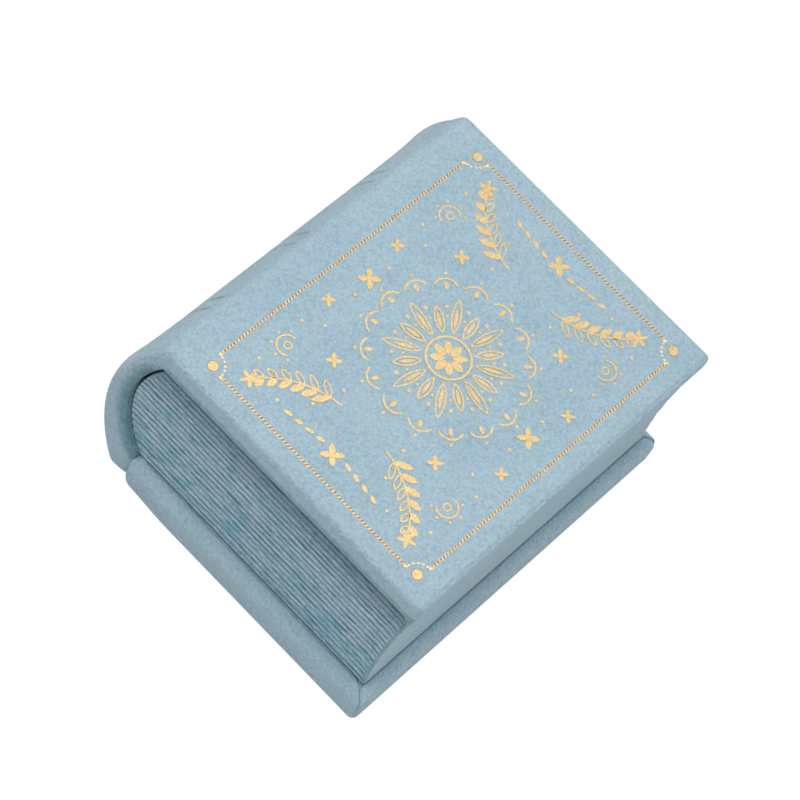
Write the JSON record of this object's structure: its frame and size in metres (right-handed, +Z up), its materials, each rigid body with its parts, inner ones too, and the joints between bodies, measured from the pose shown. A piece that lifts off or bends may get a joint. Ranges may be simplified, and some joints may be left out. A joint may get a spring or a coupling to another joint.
{
  "type": "book-shaped jewelry box",
  "caption": "Small suede-covered jewelry box shaped like a closed book, with a hinged lid and fore-edge flap over a velvet tray with ring rolls.",
  "frame": {"origin": "centre of the footprint, on the surface the box stands on", "axes": "+X along the spine, -Y towards the fore-edge where the lid lifts, +Y towards the spine and hinge, +Z up"},
  "size_m": [0.1076, 0.0922, 0.0543],
  "materials": {
    "suede": "powder-blue brushed suede cloth",
    "velvet": "short-pile velvet in a paler blue",
    "page_card": "blue-grey ribbed card with teal streaks",
    "greyboard": "matt greyboard",
    "fibreboard": "matt fibreboard",
    "foam": "matt sponge foam",
    "underside_paper": "matt uncoated paper",
    "mirror_glass": "silvered glass with a ground edge",
    "magnet": "nickel-plated disc"
  },
  "bodies": {
    "case": {"base_board": "fibreboard", "base_wrap": "suede", "base_sheet": "underside_paper", "spine_board": "fibreboard", "spine_wrap": "suede", "hinge_cloth": "suede", "page_end_left": "page_card", "page_end_right": "page_card", "front_wall": "greyboard", "back_wall": "greyboard", "tray_floor": "greyboard", "tray_rim": "velvet", "wall_magnets": "magnet", "lining_front": "velvet", "lining_back": "velvet", "lining_left": "velvet", "lining_right": "velvet", "floor_lining": "velvet", "divider_long": "velvet", "divider_short": "velvet", "ring_riser": "foam", "ring_roll_1": "velvet", "ring_roll_2": "velvet", "ring_roll_3": "velvet", "ring_roll_4": "velvet"},
    "lid": {"lid_board": "fibreboard", "lid_padding": "foam", "lid_wrap": "suede", "lid_lining": "velvet", "mirror": "mirror_glass", "flap_board": "greyboard", "flap_lining": "velvet", "flap_magnets": "magnet"}
  },
  "joints": [
    {"name": "lid_hinge", "type": "hinge", "parent": "case", "child": "lid", "pos_m": [0, 0.03405, 0.0543], "axis": [-1, 0, 0], "range_deg": [0, 110]}
  ]
}
